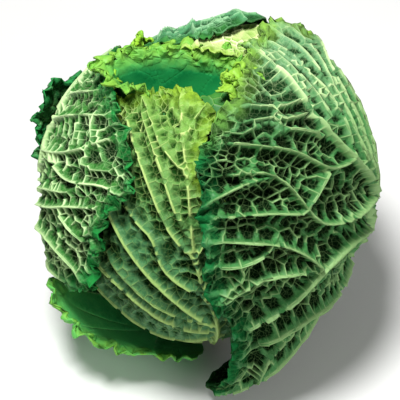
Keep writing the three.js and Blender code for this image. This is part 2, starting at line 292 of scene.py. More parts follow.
class FlatLeaf:
    """One leaf laid out flat: its outline, its veins and the net between them."""

    def __init__(self, leaf, seed):
        self.leaf = leaf
        self.chance = random.Random(seed)
        self.midrib = smooth_line([*leaf["midrib"], leaf["tip"]], FINE_STEP)
        self.margins = {side: self.margin(side) for side in (-1, 1)}
        self.outline = np.vstack([self.margins[1], self.margins[-1][::-1]])
        self.veins = [(self.midrib, leaf.get("midrib_strength", MIDRIB_STRENGTH))]
        if "rows" in leaf:
            self.veins += self.plain_veins(leaf["rows"])
        else:
            self.veins += [(smooth_line(points, FINE_STEP), strength) for strength, points in leaf["veins"]]
        self.strong = self.tree_of(self.veins)
        self.pockets = self.pocket_walls()
        self.all_veins = self.tree_of(self.veins + self.pockets)
        self.rim, self.rim_frill, self.rim_wave = self.rim_samples()
        self.rim_tree = KDTree(len(self.rim))
        for index, (u, v) in enumerate(self.rim):
            self.rim_tree.insert((u, v, 0), index)
        self.rim_tree.balance()

    def margin(self, side):
        corner = (side * PETIOLE_HALF_WIDTH, self.leaf["midrib"][0][1])
        points = self.leaf["right" if side > 0 else "left"]
        return smooth_line([corner, *points, self.leaf["tip"]], FINE_STEP)

    def plain_veins(self, rows):
        """Side veins from the midrib to the margins, for a leaf whose own don't show in the photo."""
        rib_end = 1 - 1 / len(self.leaf["midrib"])
        veins = []
        for side in (-1, 1):
            margin = self.margins[side]
            for row in range(1, rows):
                part = row / rows
                start = self.midrib[int(part * rib_end * (len(self.midrib) - 1))]
                end = margin[int(part**VEIN_RISE * (len(margin) - 1))]
                share = np.linspace(0, 1, PLAIN_VEIN_POINTS)[:, None]
                line = start + (end - start) * share
                sag = VEIN_SAG * np.linalg.norm(end - start) * math.sin(math.pi * part)
                line[:, 1:] -= 4 * sag * share * (1 - share)
                veins.append((even_line(line, FINE_STEP), PLAIN_VEIN_STRENGTH))
        return veins

    def tree_of(self, veins):
        """Finds the nearest vein: a tree of points on the veins, and the strength at each."""
        points = np.vstack([line for line, _ in veins])
        strengths = np.concatenate(
            [strength * np.linspace(1, VEIN_END_SHARE, len(line)) for line, strength in veins]
        )
        tree = KDTree(len(points))
        for index, (u, v) in enumerate(points):
            tree.insert((u, v, 0), index)
        tree.balance()
        return tree, strengths

    def pocket_walls(self):
        """The second order of veins: short walls that part the blade into large pockets."""
        low, high = self.outline.min(0), self.outline.max(0)
        bed = SeedBed(POCKET_SPACING)
        for line, _ in self.veins:
            bed.add_pairs(line, POCKET_PAIR_SPACING, POCKET_PAIR_OFFSET, self.chance)
        bed.fill(low - OUTSIDE_BAND, high + OUTSIDE_BAND, self.chance, self.patchy_size)
        seeds = np.array(bed.points)
        corners, cells = cells_round(seeds)
        inside = is_inside(corners, self.outline)
        # A dictionary keeps the walls in the order that the draws of chance below follow
        walls = {}
        for cell in cells:
            for start, end in zip(cell, cell[1:] + cell[:1]):
                walls[min(start, end), max(start, end)] = True
        tree, _ = self.strong
        lines = []
        for start, end in walls:
            if not (inside[start] and inside[end]):
                continue
            a, b = corners[start], corners[end]
            length = math.dist(a, b)
            middle = (a + b) / 2
            if not SHORTEST_WALL < length < 3 * POCKET_SPACING:
                continue
            if tree.find((*middle, 0))[2] < VEIN_CLEARANCE:
                continue
            bend = self.chance.uniform(-WALL_BEND, WALL_BEND) * length
            middle = middle + sideways(np.array([a, b]))[0] * bend
            lines.append((smooth_line([a, middle, b], FINE_STEP), self.leaf.get("walls", POCKET_STRENGTH)))
        return lines

    def rim_samples(self):
        """Points along the margin, how far the frill rises at each, and the wave of its folds."""
        points, frills = [], []
        for side, name in ((1, "right_frill"), (-1, "left_frill")):
            margin = self.margins[side]
            share = np.linspace(0, 1, len(margin)) ** (1 / VEIN_RISE)
            points.append(margin)
            frills.append(list_at(self.leaf[name], share))
        points[1], frills[1] = points[1][::-1], frills[1][::-1]
        points, frills = np.vstack(points), np.concatenate(frills)
        phase, wave = 0, []
        for _ in points:
            phase += math.tau * FINE_STEP / self.chance.uniform(*FOLD_LENGTHS)
            wave.append(math.sin(phase + 0.8 * math.sin(phase / 2.7)))
        return points, frills, np.array(wave)

    def seeds(self):
        bed = SeedBed(NET_SPACING * self.leaf["net"])
        low, high = self.outline.min(0), self.outline.max(0)
        closed = np.vstack([self.outline, self.outline[:1]])
        bed.add_pairs(closed, RIM_SPACING, RIM_SPACING * PAIR_OFFSET, self.chance)
        spacing = NET_SPACING * self.leaf["net"]
        for line, strength in self.veins:
            offset = max(spacing * PAIR_OFFSET, vein_half_width(strength) * 1.4)
            bed.add_pairs(line, spacing, offset, self.chance)
        for line, _ in self.pockets:
            bed.add_pairs(line, spacing, spacing * PAIR_OFFSET, self.chance)
        bed.fill(low - OUTSIDE_BAND, high + OUTSIDE_BAND, self.chance, self.net_size)
        return np.array(bed.points)

    def patchy_size(self, point):
        """Cells come larger and smaller in patches."""
        patch = noise.noise(Vector((point[0] / SIZE_PATCH, point[1] / SIZE_PATCH, self.leaf["azimuth"])))
        return min(LARGEST_CELL, max(SMALLEST_CELL, 0.95 + 1.1 * patch))

    def lively(self, place):
        """How deep the net is cut: in patches, and less on the slope above a strong vein."""
        patch = noise.noise(place / SMOOTH_PATCH + Vector((0, 0, self.leaf["azimuth"])))
        vein_place, _, gap = self.strong[0].find(place)
        slope = CLEAR_BELOW if place.y < vein_place.y else CLEAR_ABOVE
        clear = smoothstep(*slope, gap)
        rough = 1 - smooth_share(self.leaf, place.x, place.y)
        return min(1.6, max(0.1, 0.8 + 2 * patch)) * (0.2 + 0.8 * clear) * rough

    def net_size(self, point):
        """The net is finer in the ruffled band along the margin."""
        _, index, gap = self.rim_tree.find((*point, 0))
        band = max(0, 1 - gap / RIM_BAND) * min(1, self.rim_frill[index] / 2)
        return self.patchy_size(point) * (1 - 0.5 * band)

    def blistered_mesh(self):
        """The net as a mesh: each cell a pit with a raised wall round it, still flat on the table."""
        seeds = self.seeds()
        corners, cells = cells_round(seeds)
        kept = [cells[index] for index in np.flatnonzero(is_inside(seeds, self.outline))]
        sheet = bmesh.new()
        strength_of = sheet.verts.layers.float.new("strength")
        vein_of = sheet.verts.layers.float.new("vein")
        sink_of = sheet.verts.layers.float.new("sink")
        used = sorted({corner for cell in kept for corner in cell})
        verts = {corner: sheet.verts.new((*corners[corner], 0)) for corner in used}
        for cell in kept:
            if len(cell) > 2:
                sheet.faces.new([verts[corner] for corner in cell])
        bmesh.ops.remove_doubles(sheet, verts=sheet.verts, dist=WELD)
        tree, strengths = self.all_veins
        vein_points = len(self.strong[1])
        for vert in sheet.verts:
            _, index, distance = tree.find(vert.co)
            found = strengths[index] if distance < 1.0 + vein_half_width(strengths[index]) * 0.5 else 0
            if index >= vein_points:
                found *= 1 - smooth_share(self.leaf, vert.co.x, vert.co.y)
            strength = max(found, NET_STRENGTH * self.chance.uniform(0.5, 1.2) * self.lively(vert.co))
            vert[strength_of] = strength
        self.part_walls(sheet, strength_of)
        for vert in sheet.verts:
            vert[vein_of] = vein_paint(vert[strength_of])
            vert[sink_of] = -vein_height(vert[strength_of])
        self.sink_cells(sheet, strength_of, vein_of, sink_of)
        return sheet

    def part_walls(self, sheet, strength_of):
        """Splits each weak wall close to the strong vein it meets, so that it stays thin up to there."""
        for edge in list(sheet.edges):
            weak, strong = sorted(edge.verts, key=lambda vert: vert[strength_of])
            step = strong[strength_of] - weak[strength_of]
            foot = WALL_FOOT + vein_half_width(strong[strength_of])
            if step > WALL_STEP and foot < 0.6 * edge.calc_length():
                weak_strength = weak[strength_of] + 0.1 * step
                _, vert = bmesh.utils.edge_split(edge, strong, foot / edge.calc_length())
                vert[strength_of] = weak_strength

    def sink_cells(self, sheet, strength_of, vein_of, sink_of):
        """Sinks each cell to a rounded pit inside its raised walls, ring by ring."""
        faces = list(sheet.faces)
        plans = []
        for face in faces:
            ring = [(vert.co.copy(), vert[strength_of]) for vert in face.verts]
            centre = sum((co for co, _ in ring), Vector()) / len(ring)
            radius = math.sqrt(face.calc_area() / math.pi)
            depth = self.leaf["pit"] * min(radius, WIDEST_PIT) * self.lively(centre)
            plans.append((ring, centre, depth * self.chance.uniform(0.45, 1.3)))
        for level, (vein_share, rise_share, sink_share) in enumerate(RINGS):
            # Low walls are sharp along the top, so their cells go without the first ring
            chosen = [
                (face, plan)
                for face, plan in zip(faces, plans)
                if level > 0 or max(strength for _, strength in plan[0]) > SHARP_WALL
            ]
            bmesh.ops.inset_individual(sheet, faces=[face for face, _ in chosen], thickness=0)
            for face, (ring, centre, depth) in chosen:
                for vert, (corner, strength) in zip(face.verts, ring):
                    span = (centre - corner).length
                    foot = min(WIDEST_FOOT, vein_half_width(strength) / max(span, 0.1))
                    share = (foot * 0.5, foot, foot + (1 - foot) * 0.45)[level]
                    vert.co = corner.lerp(centre, share)
                    vert[vein_of] = vein_share * vein_paint(strength)
                    vert[sink_of] = sink_share * depth - rise_share * vein_height(strength)
        middles = bmesh.ops.poke(sheet, faces=faces)["verts"]
        for vert in middles:
            deepest = max(edge.other_vert(vert)[sink_of] for edge in vert.link_edges)
            vert[sink_of] = deepest * 1.15
            vert[vein_of] = 0


def direction_on_head(polar, azimuth):
    """Unit directions at a place on the head: outward, towards the tip, and across."""
    sin_p, cos_p = math.sin(math.radians(polar)), math.cos(math.radians(polar))
    sin_a, cos_a = math.sin(math.radians(azimuth)), math.cos(math.radians(azimuth))
    outward = np.array([sin_p * sin_a, -sin_p * cos_a, cos_p])
    towards_tip = np.array([-cos_p * sin_a, cos_p * cos_a, sin_p])
    return outward, towards_tip, np.cross(towards_tip, outward)


def wrap_on_head(flat, height, leaf):
    """Places flat points, with their heights above the leaf's layer, on the round head."""
    outward, towards_tip, across = direction_on_head(leaf["polar"], leaf["azimuth"])
    distance = np.maximum(np.hypot(flat[:, 0], flat[:, 1]), 1e-6)
    angle = distance / HEAD_RADIUS
    sideways_part = (flat[:, :1] * across + flat[:, 1:] * towards_tip) / distance[:, None]
    direction = outward * np.cos(angle)[:, None] + sideways_part * np.sin(angle)[:, None]
    point = direction * (leaf["layer"] + height)[:, None] * (1, 1, POLAR_SQUASH)
    return point + (0, 0, HEAD_CENTRE_HEIGHT), direction


def wrap_on_cup(flat, height, leaf):
    """Places flat points round the hollow at the crown: u runs round it and v up its wall."""
    stations = leaf["stations"]
    climb = [station["v"] for station in stations]
    half_width, half_depth, level = (
        np.interp(flat[:, 1], climb, [station[name] for station in stations])
        for name in ("half_width", "half_depth", "height")
    )
    turn = np.radians(leaf["middle_turn"] + flat[:, 0] * leaf["turn_per_mm"])
    direction = np.column_stack([np.cos(turn) / half_width, np.sin(turn) / half_depth, 0 * turn])
    direction /= np.linalg.norm(direction, axis=1)[:, None]
    point = np.column_stack(
        [
            HOLLOW_CENTRE[0] + half_width * np.cos(turn),
            HOLLOW_CENTRE[1] + half_depth * np.sin(turn),
            level,
        ]
    )
    return point + direction * height[:, None], direction


def leaf_heights(flat_leaf, flat, sink):
    """Height above the layer at each flat point, and what the ruffles and the paint need there."""
    leaf = flat_leaf.leaf
    strong_tree, all_tree = flat_leaf.strong[0], flat_leaf.all_veins[0]
    count = len(flat)
    strong_gap, any_gap, under = np.zeros(count), np.zeros(count), np.zeros(count)
    rim_gap, rim_index = np.zeros(count), np.zeros(count, int)
    for k, (u, v) in enumerate(flat):
        vein_place, _, strong_gap[k] = strong_tree.find((u, v, 0))
        under[k] = max(0, vein_place.y - v) / max(strong_gap[k], 0.1)
        any_gap[k] = all_tree.find((u, v, 0))[2]
        _, rim_index[k], rim_gap[k] = flat_leaf.rim_tree.find((u, v, 0))
    frill = flat_leaf.rim_frill[rim_index]
    drape = 1 - (1 - np.clip(strong_gap / DRAPE_SPAN, 0, 1)) ** 2
    pocket = 1 - (1 - np.clip(any_gap / POCKET_SPAN, 0, 1)) ** 2
    inward = smoothstep(2, 14, rim_gap)
    trench = UNDER_VEIN * under * strong_gap / UNDER_SPAN * np.exp(1 - strong_gap / UNDER_SPAN)
    relief = -(leaf["drape"] * (drape + trench) + leaf["pocket"] * pocket)
    relief *= RIM_RELIEF + (1 - RIM_RELIEF) * inward
    relief *= 1 - (1 - SMOOTH_RELIEF) * smooth_share(leaf, flat[:, 0], flat[:, 1])
    height = relief - sink + BLADE_LIFT
    for u, v, spread, rise in leaf.get("lifts", ()):
        height += rise * np.exp(-((flat[:, 0] - u) ** 2 + (flat[:, 1] - v) ** 2) / spread**2)
    calm = [1 - min(1, flat_leaf.lively(Vector((u, v, 0)))) for u, v in flat]
    return height, pocket, rim_gap, rim_index, frill, calm, trench / UNDER_VEIN


def ruffle(points, direction, rim_gap, frill, wave, leaf):
    """Folds and crumples the leaf near its margin, more where the frill is deeper."""
    near = np.clip(1 - rim_gap / leaf.get("frill_width", FRILL_WIDTH), 0, 1) ** 1.3
    crumple = leaf.get("crinkle", CRINKLE_DEPTH)
    amount = near * frill
    for k in np.flatnonzero(amount > 0.05):
        place = Vector(points[k])
        swell = noise.noise_vector(place / RUFFLE_SIZE)
        crinkle = noise.noise_vector(place / CRINKLE_SIZE)
        push = np.array(swell) * RUFFLE_DEPTH + np.array(crinkle) * crumple
        rise = FRILL_RISE + FOLD_DEPTH * wave[k] * near[k]
        points[k] += (push + direction[k] * rise) * amount[k]
    return points


def finish_piece(name, mesh, node_name, material):
    """Makes a mesh a piece that rides on the root body and replaces a solid."""
    piece = bpy.data.objects.new(name, mesh)
    bpy.context.collection.objects.link(piece)
    mesh.materials.append(material)
    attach(piece, "root")
    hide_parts(node_name)
    return piece


def add_attribute(mesh, name, values):
    """A value at each point of the mesh, for its material to read."""
    layer = mesh.attributes.new(name, "FLOAT", "POINT")
    layer.data.foreach_set("value", np.asarray(values, np.float32))


def build_leaf(leaf, seed, material):
    """One leaf, from its flat net to the finished blade on the head."""
    flat_leaf = FlatLeaf(leaf, seed)
    sheet = flat_leaf.blistered_mesh()
    mesh = bpy.data.meshes.new(leaf["name"] + "_skin")
    sheet.to_mesh(mesh)
    sheet.free()
    count = len(mesh.vertices)
    flat = np.zeros(count * 3)
    mesh.vertices.foreach_get("co", flat)
    flat = flat.reshape(-1, 3)[:, :2]
    sink, vein = np.zeros(count), np.zeros(count)
    mesh.attributes["sink"].data.foreach_get("value", sink)
    mesh.attributes["vein"].data.foreach_get("value", vein)
    height, pocket, rim_gap, rim_index, frill, calm, trench = leaf_heights(flat_leaf, flat, sink)
    wrap = wrap_on_cup if "stations" in leaf else wrap_on_head
    points, direction = wrap(flat, height, leaf)
    points = ruffle(points, direction, rim_gap, frill, flat_leaf.rim_wave[rim_index], leaf)
    mesh.vertices.foreach_set("co", (points * MM).ravel())
    edge_width = EDGE_SHARE * leaf.get("frill_width", FRILL_WIDTH)
    edge = np.clip(1 - rim_gap / edge_width, 0, 1) * np.clip(frill / FULL_FRILL, 0, 1)
    climb = flat[:, 1] + leaf.get("ripe_side", 0) * flat[:, 0]
    low, high = climb.min(), climb.max()
    mesh.attributes["vein"].data.foreach_set("value", (vein * (1 - RUFFLE_COVER * edge)).astype(np.float32))
    add_attribute(mesh, "edge", edge)
    add_attribute(mesh, "calm", calm)
    add_attribute(mesh, "reach", (climb - low) / (high - low))
    # The pit attribute is painted shade: the pits, the middles of the pockets and the trenches under the
    # strong veins are painted darker the deeper they sink
    depth = (sink + leaf["pocket"] * (pocket - 0.6)) / FULL_SHADE_DEPTH + TRENCH_SHADE * trench
    add_attribute(mesh, "pit", np.clip(depth * leaf.get("shade", 1), 0, 1))
    mesh.polygons.foreach_set("use_smooth", [True] * len(mesh.polygons))
    mesh.update()
    piece = finish_piece(leaf["name"] + "_skin", mesh, leaf["node"], material)
    wall = piece.modifiers.new("thickness", "SOLIDIFY")
    wall.thickness = LEAF_THICKNESS * MM
    wall.offset = leaf.get("wall_side", -1)
    return piece


# What the three ruffled lobes at the crown have in common
CROWN_LOBE = {"node": "crown_leaf", "slot": "heart_leaf", "crinkle": 1.2, "net": 0.5}

# What the two outer leaves that lie behind the head have in common
OUTER_LEAF = {
    "slot": "dark_leaf",
    "layer": OUTER_LAYER,
    "rows": 7,
    "left_frill": [0, 0, 2, 4, 4],
    "right_frill": [0, 0, 2, 4, 4],
    "net": 1.0,
    "pit": 0.5,
    "drape": 4.0,
    "pocket": 2.2,
}

# Leaves, from the innermost out. Each has its layer, the distance of its blade from the head's
# centre, and the direction in which its origin lies: polar from the crown down, azimuth from the
# front to the right. The crown leaf has stations up the hollow's wall instead. The midrib, the tip
# and the left and right margins are points on the flat leaf. A vein is a strength and its points,
# and rows stand for veins evenly spaced. A frill is how deep the ruffles are, from the stalk to the
# tip. A lift or a smooth spot is a place, its spread and its amount.
# net scales the spacing of the cells and pit their depth. drape and pocket are how far the blade
# sinks between its veins and its pockets' walls, and walls is the strength of those walls. shade is
# how dark the painted shade in the pits and trenches is, and ripe_side how far the tip's colours
# lean to the right.
LEAVES = [
    {
        "name": "crown_leaf",
        "node": "crown_leaf",
        "slot": "heart_leaf",
        "middle_turn": 105,
        "turn_per_mm": 2.1,
        "azimuth": 0,
        "stations": [
            {"v": -2, "half_width": 21.5, "half_depth": 8.5, "height": 146},
            {"v": 12, "half_width": 26, "half_depth": 11, "height": 160},
            {"v": 24, "half_width": 29, "half_depth": 12.5, "height": 171},
            {"v": 30, "half_width": 32, "half_depth": 14, "height": 175},
            {"v": 37, "half_width": 36, "half_depth": 17, "height": 178},
            {"v": 47, "half_width": 40, "half_depth": 21, "height": 178},
        ],
        "midrib": [(0, -2), (0, 10), (2, 24)],
        "tip": (3, 42),
        "left": [(-40, -2), (-60, 0), (-66, 14), (-58, 32), (-38, 40), (-18, 38)],
        "right": [(40, -2), (60, 0), (68, 14), (66, 34), (46, 45), (24, 43)],
        "left_frill": [0, 0, 0, 3, 4, 4, 4],
        "right_frill": [0, 0, 0, 3, 5, 5, 5],
        "veins": [
            (0.1, [(0, 8), (-12, 18), (-22, 30)]),
            (0.1, [(0, 12), (12, 22), (20, 34)]),
            (0.1, [(22, 0), (26, 18), (36, 34)]),
            (0.1, [(-24, 0), (-30, 16), (-42, 28)]),
            (0.1, [(44, 0), (50, 16), (60, 24)]),
        ],
        "smooth_spots": [(0, 6, 40, 1), (-45, 6, 40, 1), (45, 6, 40, 1)],
        "midrib_strength": 0.1,
        "frill_width": 26,
        "crinkle": 1.1,
        "wall_side": 1,
        "net": 0.6,
        "pit": 0.12,
        "drape": 0.15,
        "pocket": 0,
    },
    {
        "name": "left_lobe",
        **CROWN_LOBE,
        "layer": 87.5,
        "polar": 36,
        "azimuth": -124,
        "midrib": [(0, -22), (0, -10), (1, 0)],
        "tip": (2, 9),
        "left": [(-12, -20), (-18, -8), (-14, 4)],
        "right": [(12, -20), (18, -8), (14, 5)],
        "left_frill": [0, 3, 5, 5, 5],
        "right_frill": [0, 3, 5, 5, 5],
        "lifts": [(0, -22, 12, -9)],
        "veins": [(0.4, [(0, -14), (-8, -6), (-12, 2)]), (0.4, [(0, -14), (9, -6), (12, 3)])],
        "pit": 0.3,
        "drape": 0.6,
        "pocket": 0.4,
    },
    {
        "name": "front_lobe",
        **CROWN_LOBE,
        "layer": 87,
        "polar": 37,
        "azimuth": -93,
        "midrib": [(0, -20), (0, -10), (0, 0)],
        "tip": (1, 8),
        "left": [(-12, -18), (-15, -6), (-11, 4)],
        "right": [(12, -18), (17, -6), (13, 4)],
        "left_frill": [0, 2, 4, 4, 4],
        "right_frill": [0, 2, 4, 4, 4],
        "lifts": [(0, -20, 14, -11)],
        "veins": [(0.4, [(0, -12), (-6, -4), (-9, 2)]), (0.4, [(0, -12), (6, -4), (10, 2)])],
        "pit": 0.2,
        "drape": 0.5,
        "pocket": 0.3,
    },
    {
        "name": "right_tuft",
        **CROWN_LOBE,
        "layer": 85,
        "polar": 13,
        "azimuth": 58,
        "midrib": [(0, -18), (0, -9), (0, 0)],
        "tip": (-2, 9),
        "left": [(-9, -16), (-12, -6), (-9, 4)],
        "right": [(9, -16), (12, -6), (9, 4)],
        "left_frill": [0, 2, 4, 4.5, 4.5],
        "right_frill": [0, 2, 4, 4.5, 4.5],
        "lifts": [(0, -18, 10, -9)],
        "veins": [(0.4, [(0, -12), (-5, -4), (-7, 3)]), (0.4, [(0, -12), (5, -4), (7, 3)])],
        "pit": 0.25,
        "drape": 0.5,
        "pocket": 0.3,
    },
    {
        "name": "pale_rim_leaf",
        "node": "heart",
        "slot": "heart_leaf",
        "layer": 86,
        "polar": 80,
        "azimuth": 182,
        "midrib": [(4, 50), (4, 70), (6, 90)],
        "tip": (6, 112),
        "left": [(-24, 60), (-44, 76), (-44, 102), (-20, 117)],
        "right": [(36, 60), (50, 74), (40, 92), (24, 103)],
        "left_frill": [0, 0, 0, 2, 3],
        "right_frill": [0, 0, 0, 2, 3],
        "lifts": [(-24, 82, 20, 4), (-40, 80, 14, 8), (40, 84, 22, -4)],
        "veins": [
            (0.8, [(4, 60), (-8, 84), (-12, 104)]),
            (0.8, [(4, 60), (20, 84), (26, 104)]),
            (0.6, [(4, 58), (30, 76), (38, 92)]),
            (0.6, [(4, 58), (-18, 76), (-24, 92)]),
        ],
        "net": 1.2,
        "pit": 0.3,
        "drape": 1.2,
        "pocket": 0.6,
    },
    {
        "name": "front_leaf",
        "node": "front_leaf",
        "slot": "pale_leaf",
        "layer": INNER_LAYER,
        "polar": 80,
        "azimuth": -6,
        "midrib": [(0, -140), (15, -58), (2, 8), (-5, 54), (-13, 88)],
        "tip": (-15, 108),
        "left": [(-42, -118), (-82, -62), (-90, 5), (-84, 55), (-71, 92), (-44, 108)],
        "right": [(40, -118), (68, -70), (66, -10), (38, 30), (4, 58), (8, 98)],
        "left_frill": [0, 0, 0, 0, 0.5, 3.5, 4],
        "right_frill": [0, 0, 0, 0, 1, 3, 4],
        "lifts": [(-15, -90, 40, 5), (36, 26, 14, -6), (46, -26, 18, -6), (62, -70, 24, -6)],
        "veins": [
            (0.9, [(15, -52), (-13, -21), (-34, 2), (-50, 22), (-72, 52)]),
            (0.85, [(15, -57), (-11, -50), (-39, -30), (-62, -14), (-84, 8)]),
            (0.7, [(13, -68), (-20, -72), (-52, -58), (-78, -36)]),
            (0.75, [(9, -22), (-15, -2), (-24, 18), (-40, 32), (-64, 68)]),
            (0.8, [(1, 8), (-14, 25), (-31, 53), (-52, 84)]),
            (0.5, [(0, 18), (-11, 36), (-24, 62), (-44, 92)]),
            (0.5, [(-6, 58), (-24, 73), (-44, 100)]),
            (0.4, [(-13, 88), (-24, 100)]),
            (0.5, [(-5, 54), (0, 62), (5, 84)]),
            (0.45, [(-10, 78), (-4, 92), (4, 102)]),
            (0.5, [(2, 8), (9, 26), (8, 50)]),
            (0.5, [(8, -18), (20, 2), (28, 30)]),
            (0.6, [(14, -48), (34, -28), (50, 0)]),
            (0.6, [(14, -68), (40, -55), (64, -30)]),
            (0.6, [(8, -92), (36, -88), (62, -72)]),
            (0.6, [(8, -96), (-30, -98), (-62, -84)]),
            (0.5, [(9, -46), (-22, -33), (-50, -8)]),
        ],
        "smooth_spots": [(-10, -85, 50, 0.7), (-30, 30, 50, 0.4)],
        "ripe_side": 0.5,
        "walls": 0.26,
        "net": 1.0,
        "pit": 0.5,
        "drape": 4.2,
        "pocket": 2.2,
    },
    {
        "name": "back_leaf",
        "node": "back_leaf",
        "slot": "dark_leaf",
        "layer": INNER_LAYER,
        "polar": 80,
        "azimuth": 182,
        "rows": 8,
        "midrib": [(0, -140), (0, -60), (4, 10), (8, 84)],
        "tip": (6, 105),
        "left": [(-40, -118), (-70, -60), (-72, -10), (-54, 34), (-38, 66), (-27, 90)],
        "right": [(40, -118), (74, -60), (82, 0), (76, 50), (46, 82)],
        "left_frill": [0, 0, 0, 0, 0.5, 2.5],
        "right_frill": [0, 0, 0, 0, 2, 3.5],
        "lifts": [(-20, 80, 30, 13), (30, 56, 30, 4), (-38, 76, 15, 5)],
        "net": 0.85,
        "pit": 0.7,
        "drape": 2.6,
        "pocket": 2.2,
    },
    {
        "name": "right_leaf",
        "node": "right_leaf",
        "slot": "dark_leaf",
        "layer": HEAD_RADIUS + 1.5,
        "polar": 80,
        "azimuth": 75,
        "midrib": [(0, -140), (8, -75), (13, -21), (-8, 36), (-6, 66), (10, 92)],
        "tip": (22, 112),
        "left": [
            (-38, -126), (-82, -119), (-104, -50), (-120, 4),
            (-108, 50), (-86, 86), (-58, 103), (-22, 106),
        ],
        "right": [(40, -118), (74, -70), (86, -5), (82, 52), (62, 92)],
        "left_frill": [0, 1, 4, 4, 3, 3, 3.5],
        "right_frill": [0, 0, 1, 3, 4, 4.5],
        "lifts": [(-82, -110, 46, 26), (74, 64, 36, 8)],
        "smooth_spots": [(34, 72, 38, 0.85), (-30, 92, 16, 0.5)],
        "veins": [
            (0.9, [(3, -7), (-28, 5), (-50, 22), (-56, 60), (-74, 76)]),
            (0.9, [(-1, -26), (-30, -11), (-55, -12), (-75, -25), (-100, -38)]),
            (0.8, [(-4, 28), (-26, 40), (-38, 64), (-58, 90)]),
            (0.75, [(-55, -11), (-75, 22), (-112, 48)]),
            (0.7, [(-54, 30), (-75, 46), (-98, 58)]),
            (0.65, [(-57, -11), (-88, 4), (-114, -6)]),
            (0.6, [(-56, 60), (-75, 67), (-100, 68)]),
            (0.55, [(-76, 23), (-98, 20), (-122, 28)]),
            (0.45, [(-99, 20), (-101, 9), (-115, -4)]),
            (0.55, [(-26, 40), (-54, 32)]),
            (0.5, [(-11, 69), (-21, 75), (-27, 82), (-40, 92)]),
            (0.5, [(-6, 76), (-18, 83), (-32, 99)]),
            (0.45, [(-14, 54), (-23, 67), (-30, 75), (-32, 83), (-48, 89)]),
            (0.35, [(-20, 83), (-27, 82), (-30, 75), (-37, 76), (-42, 71)]),
            (0.75, [(4, -62), (-30, -57), (-60, -49), (-88, -56)]),
            (0.45, [(-70, -50), (-79, -75), (-70, -100)]),
            (0.7, [(3, -86), (-30, -82), (-60, -90), (-92, -106)]),
            (0.5, [(1, -108), (-35, -105), (-72, -114)]),
            (0.6, [(13, -16), (12, 14), (21, 36), (33, 54), (49, 62), (76, 58)]),
            (0.5, [(4, 12), (9, 34), (22, 55), (31, 62), (42, 69), (62, 82)]),
            (0.5, [(-5, 30), (9, 49), (15, 62), (20, 73), (28, 84), (36, 102)]),
            (0.45, [(8, 48), (12, 65), (20, 76), (26, 89), (34, 105)]),
            (0.45, [(-10, 60), (5, 75), (12, 84), (18, 92), (24, 106)]),
            (0.45, [(-8, 44), (4, 62), (16, 84), (26, 98)]),
            (0.45, [(15, 50), (28, 68), (42, 82), (50, 96)]),
            (0.45, [(18, 34), (34, 62), (50, 74), (60, 88)]),
            (0.6, [(14, -32), (42, 6), (64, 28), (82, 40)]),
            (0.6, [(12, -55), (46, -22), (86, 2)]),
            (0.6, [(8, -82), (45, -54), (80, -34)]),
            (0.6, [(3, -108), (32, -86), (64, -70)]),
        ],
        # This leaf's tip colours, partly painted light, lean to the right, and its pits and trenches get
        # half again as much painted shade
        "ripe_side": 0.6,
        "shade": 1.5,
        "net": 1.03,
        "pit": 0.75,
        "drape": 8.0,
        "pocket": 3.6,
    },
    {
        "name": "left_leaf",
        "node": "left_leaf",
        "slot": "mid_leaf",
        "layer": HEAD_RADIUS,
        "polar": 80,
        "azimuth": -100,
        "midrib": [(0, -140), (8, -70), (12, -15), (-4, 25), (-14, 48)],
        "tip": (-20, 64),
        "left": [(-38, -120), (-66, -70), (-74, -10), (-56, 44)],
        "right": [(30, -124), (56, -66), (90, -30), (95, 6), (90, 38), (88, 62), (66, 76), (30, 78)],
        "left_frill": [0, 0, 0.4, 0.6, 2],
        "right_frill": [0, 1, 4, 4.5, 4.5, 4, 4],
        "lifts": [(42, -46, 24, 8)],
        "veins": [
            (0.85, [(8, 2), (33, 27), (46, 47), (52, 68)]),
            (0.9, [(11, -10), (28, 16), (55, 29), (74, 48), (88, 56)]),
            (0.85, [(12, -35), (48, -2), (62, 14), (82, 36)]),
            (0.7, [(0, 18), (22, 49), (36, 70)]),
            (0.5, [(-7, 34), (8, 56), (17, 71)]),
            (0.75, [(11, -50), (47, -24), (88, -24)]),
            (0.55, [(12, -24), (40, 4), (58, 22), (64, 34)]),
            (0.5, [(57, 6), (76, 6), (92, 10)]),
            (0.4, [(76, 6), (86, 18), (82, 36)]),
            (0.4, [(24, 50), (34, 47), (41, 38)]),
            (0.4, [(31, 60), (42, 58), (49, 54)]),
            (0.4, [(50, 50), (57, 44), (69, 57)]),
            (0.7, [(9, -70), (40, -52), (74, -48)]),
            (0.6, [(5, -95), (25, -86), (50, -72)]),
            (0.6, [(-3, 18), (-30, 34), (-54, 42)]),
            (0.6, [(8, -2), (-30, 14), (-68, 22)]),
            (0.6, [(12, -22), (-30, -8), (-73, -4)]),
            (0.6, [(11, -46), (-30, -36), (-73, -30)]),
            (0.6, [(8, -72), (-30, -64), (-68, -66)]),
            (0.6, [(4, -98), (-30, -94), (-54, -90)]),
        ],
        "smooth_spots": [(16, 54, 20, 0.5), (72, 42, 16, 0.4)],
        "walls": 0.45,
        "net": 1.0,
        "pit": 0.6,
        "drape": 2.8,
        "pocket": 2.8,
    },
    {
        **OUTER_LEAF,
        "name": "upper_left_leaf",
        "node": "upper_left_leaf",
        "polar": 95,
        "azimuth": -138,
        "midrib": [(0, -115), (0, -60), (4, -8), (20, 22)],
        "tip": (33, 39),
        "left": [(-32, -100), (-48, -50), (-46, -14), (-16, 20)],
        "right": [(34, -100), (48, -55), (48, -8), (46, 28)],
        "crinkle": 1.0,
        "lifts": [(34, 32, 14, 5)],
    },
    {
        **OUTER_LEAF,
        "name": "rear_right_leaf",
        "node": "rear_right_leaf",
        "polar": 98,
        "azimuth": 139,
        "midrib": [(0, -110), (0, -60), (0, -14), (0, 18)],
        "tip": (0, 32),
        "left": [(-34, -96), (-44, -50), (-38, -12), (-24, 18)],
